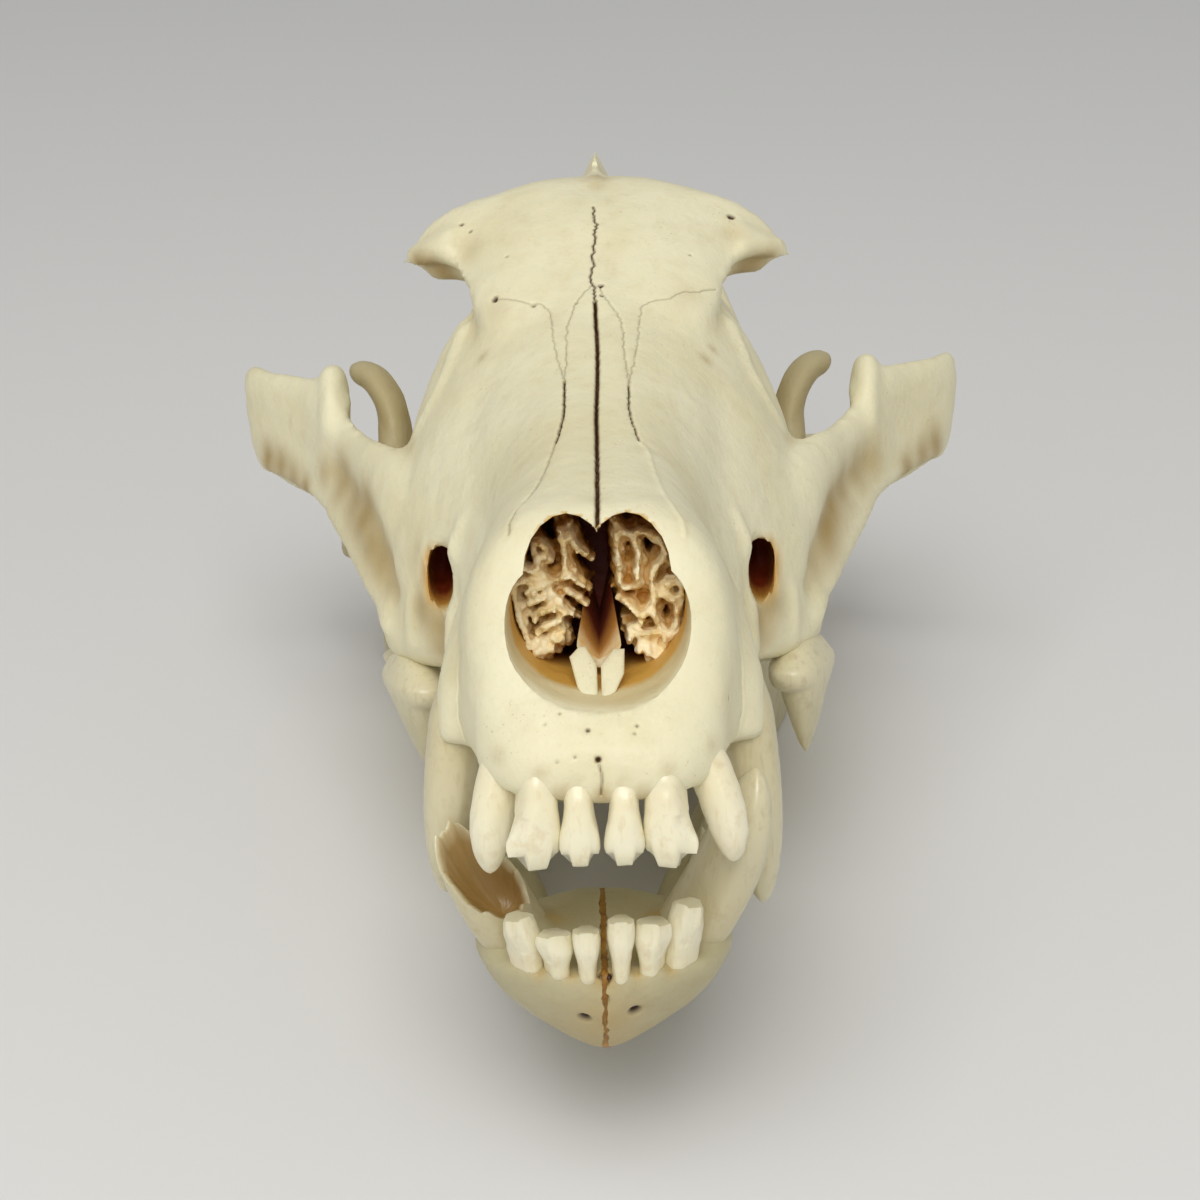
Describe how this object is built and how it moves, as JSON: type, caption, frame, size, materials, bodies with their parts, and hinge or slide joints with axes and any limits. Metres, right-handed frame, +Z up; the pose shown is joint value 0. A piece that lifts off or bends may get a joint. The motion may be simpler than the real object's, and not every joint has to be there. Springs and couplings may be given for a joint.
{
  "type": "wolf skull",
  "caption": "Life-size dry wolf skull with its lower jaw, jaws a little open, lying on the floor with its nose raised.",
  "frame": {"origin": "on the floor, under the centre of the skull's bounding box", "axes": "-Y the way the nose points, +X the animal's left, +Z up from the floor that the lower jaws rest on"},
  "size_m": [0.143, 0.2815, 0.1196],
  "materials": {
    "skull_bone": "dry bone, matt with a slight sheen",
    "jaw_bone": "dry bone, matt with a slight sheen",
    "nasal_bone": "thin stained bone, matt"
  },
  "bodies": {
    "root": {"muzzle": "skull_bone", "braincase": "skull_bone", "cheek_arch_left": "skull_bone", "cheek_arch_right": "skull_bone", "lower_jaw_left": "jaw_bone", "lower_jaw_right": "jaw_bone", "nasal_blade": "nasal_bone", "nasal_scrolls_left": "nasal_bone", "nasal_scrolls_right": "nasal_bone"}
  },
  "joints": []
}
